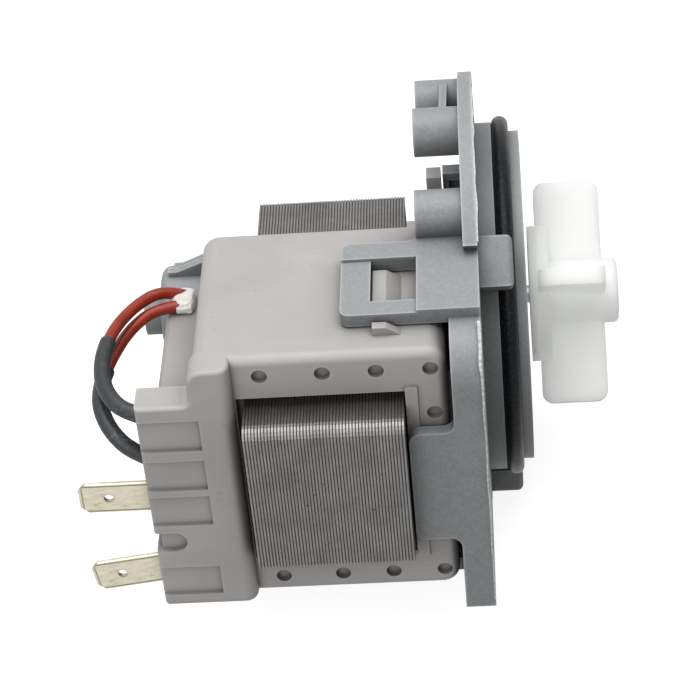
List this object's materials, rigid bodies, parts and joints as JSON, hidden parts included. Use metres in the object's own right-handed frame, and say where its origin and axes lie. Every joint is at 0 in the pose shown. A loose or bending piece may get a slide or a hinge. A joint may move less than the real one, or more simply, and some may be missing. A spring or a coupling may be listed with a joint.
{
  "type": "washing machine drain pump",
  "caption": "Drain pump motor with a laminated core, enclosed coils, spade terminals, a clip-on grey flange with a sealed spigot, and a bladed impeller on a magnet rotor.",
  "frame": {"origin": "on the rotor axis, in the plane of the flange face that meets the pump housing", "axes": "+X along the rotor axis toward the impeller, +Z along the stack of the coils toward the flange's screw posts, -Y from the axis toward the core's yoke and the terminals"},
  "size_m": [0.0927, 0.0906, 0.077],
  "materials": {
    "grey_plastic": "moulded polypropylene, lightly mottled satin",
    "seal_rubber": "smooth, slightly glossy",
    "cover_plastic": "warm light grey moulding, fine matte",
    "lamination_steel": "stacked sheet edges with a few rust specks",
    "natural_plastic": "natural moulding",
    "copper_wire": "enamelled wire",
    "tinned_brass": "tinned, stamped",
    "cutout_case": "smooth case",
    "red_lead": "smooth insulation",
    "sleeve_plastic": "smooth sleeve",
    "sealant": "cured white sealant",
    "cap_plastic": "moulded, satin",
    "bush_carbon": "ground carbon",
    "ferrite": "ground ferrite",
    "shaft_steel": "ground",
    "washer_plastic": "smooth",
    "impeller_plastic": "natural white, slightly translucent"
  },
  "bodies": {
    "housing": {"mounting_flange": "grey_plastic", "seal_ring": "seal_rubber", "coil_cover": "cover_plastic", "stator_core": "lamination_steel", "upper_bobbin": "natural_plastic", "lower_bobbin": "natural_plastic", "upper_winding": "copper_wire", "lower_winding": "copper_wire", "upper_terminal": "tinned_brass", "lower_terminal": "tinned_brass", "thermal_cutout": "cutout_case", "upper_lead": "red_lead", "lower_lead": "red_lead", "upper_sleeve": "sleeve_plastic", "lower_sleeve": "sleeve_plastic", "lead_seal": "sealant", "bearing_cap": "cap_plastic", "cap_seal": "seal_rubber", "front_bush": "bush_carbon", "rear_bush": "bush_carbon", "bush_cushion": "seal_rubber"},
    "rotor": {"rotor_magnet": "ferrite", "magnet_carrier": "natural_plastic", "rotor_shaft": "shaft_steel", "front_thrust_washer": "washer_plastic", "rear_thrust_washer": "washer_plastic", "drive_dog": "natural_plastic"},
    "impeller": {"impeller": "impeller_plastic", "drive_cover": "impeller_plastic"}
  },
  "joints": [
    {"name": "rotor_spin", "type": "hinge", "parent": "housing", "child": "rotor", "pos_m": [0, 0, 0], "axis": [1, 0, 0], "continuous": true},
    {"name": "impeller_lost_motion", "type": "hinge", "parent": "rotor", "child": "impeller", "pos_m": [0, 0, 0], "axis": [1, 0, 0], "range_deg": [-120, 120]}
  ]
}
